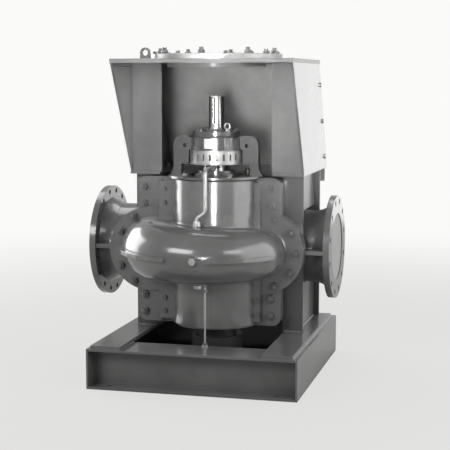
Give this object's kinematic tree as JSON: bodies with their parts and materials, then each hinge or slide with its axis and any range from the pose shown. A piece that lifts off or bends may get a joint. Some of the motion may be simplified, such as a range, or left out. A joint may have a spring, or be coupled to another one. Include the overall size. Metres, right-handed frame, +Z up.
{
  "type": "vertical split case pump on a frame with a motor stool",
  "caption": "Upright double suction volute pump with a split casing, held in a steel frame that carries a stool for a motor over its shaft.",
  "frame": {"origin": "centre of the four anchor holes at the underside of the base frame", "axes": "+X from the suction flange to the discharge flange, +Y from the front to the back, +Z up along the shaft"},
  "size_m": [1.088, 1.04, 1.426],
  "materials": {
    "casing_paint": "glossy machine enamel over a cast surface",
    "frame_paint": "satin machine enamel on rolled steel",
    "stool_paint": "satin machine enamel on sheet steel",
    "bright_steel": "machined and polished",
    "cover_board": "matt pale board"
  },
  "bodies": {
    "frame_and_casing": {"base_channel_left": "frame_paint", "base_channel_right": "frame_paint", "base_front_beam": "frame_paint", "base_rear_beam": "frame_paint", "bearing_cap": "casing_paint", "bearing_housing": "casing_paint", "bearing_lantern": "casing_paint", "casing_front": "casing_paint", "casing_rear": "casing_paint", "column_left": "frame_paint", "column_right": "frame_paint", "discharge_cover": "cover_board", "drain_pipe": "bright_steel", "drain_plug": "bright_steel", "flush_pipe": "bright_steel", "guard_ring": "bright_steel", "lifting_lug_left": "stool_paint", "lifting_lug_right": "stool_paint", "lower_bearing_cap": "casing_paint", "lower_bearing_housing": "casing_paint", "motor_ring": "bright_steel", "motor_studs": "bright_steel", "rear_post_left": "frame_paint", "rear_post_right": "frame_paint", "rear_rail_lower": "frame_paint", "rear_rail_upper": "frame_paint", "sole_plate_left": "frame_paint", "sole_plate_right": "frame_paint", "stool_back": "stool_paint", "stool_front_left": "stool_paint", "stool_front_right": "stool_paint", "stool_seat_left": "stool_paint", "stool_seat_right": "stool_paint", "stool_side_left": "stool_paint", "stool_side_right": "stool_paint", "stool_top": "stool_paint", "stuffing_gland": "casing_paint", "suction_cover": "cover_board", "vent_plug": "bright_steel"},
    "rotor": {"shaft": "bright_steel"}
  },
  "joints": [
    {"name": "shaft_spin", "type": "hinge", "parent": "frame_and_casing", "child": "rotor", "pos_m": [0, -0.043, 1.1], "axis": [0, 0, 1], "continuous": true}
  ]
}
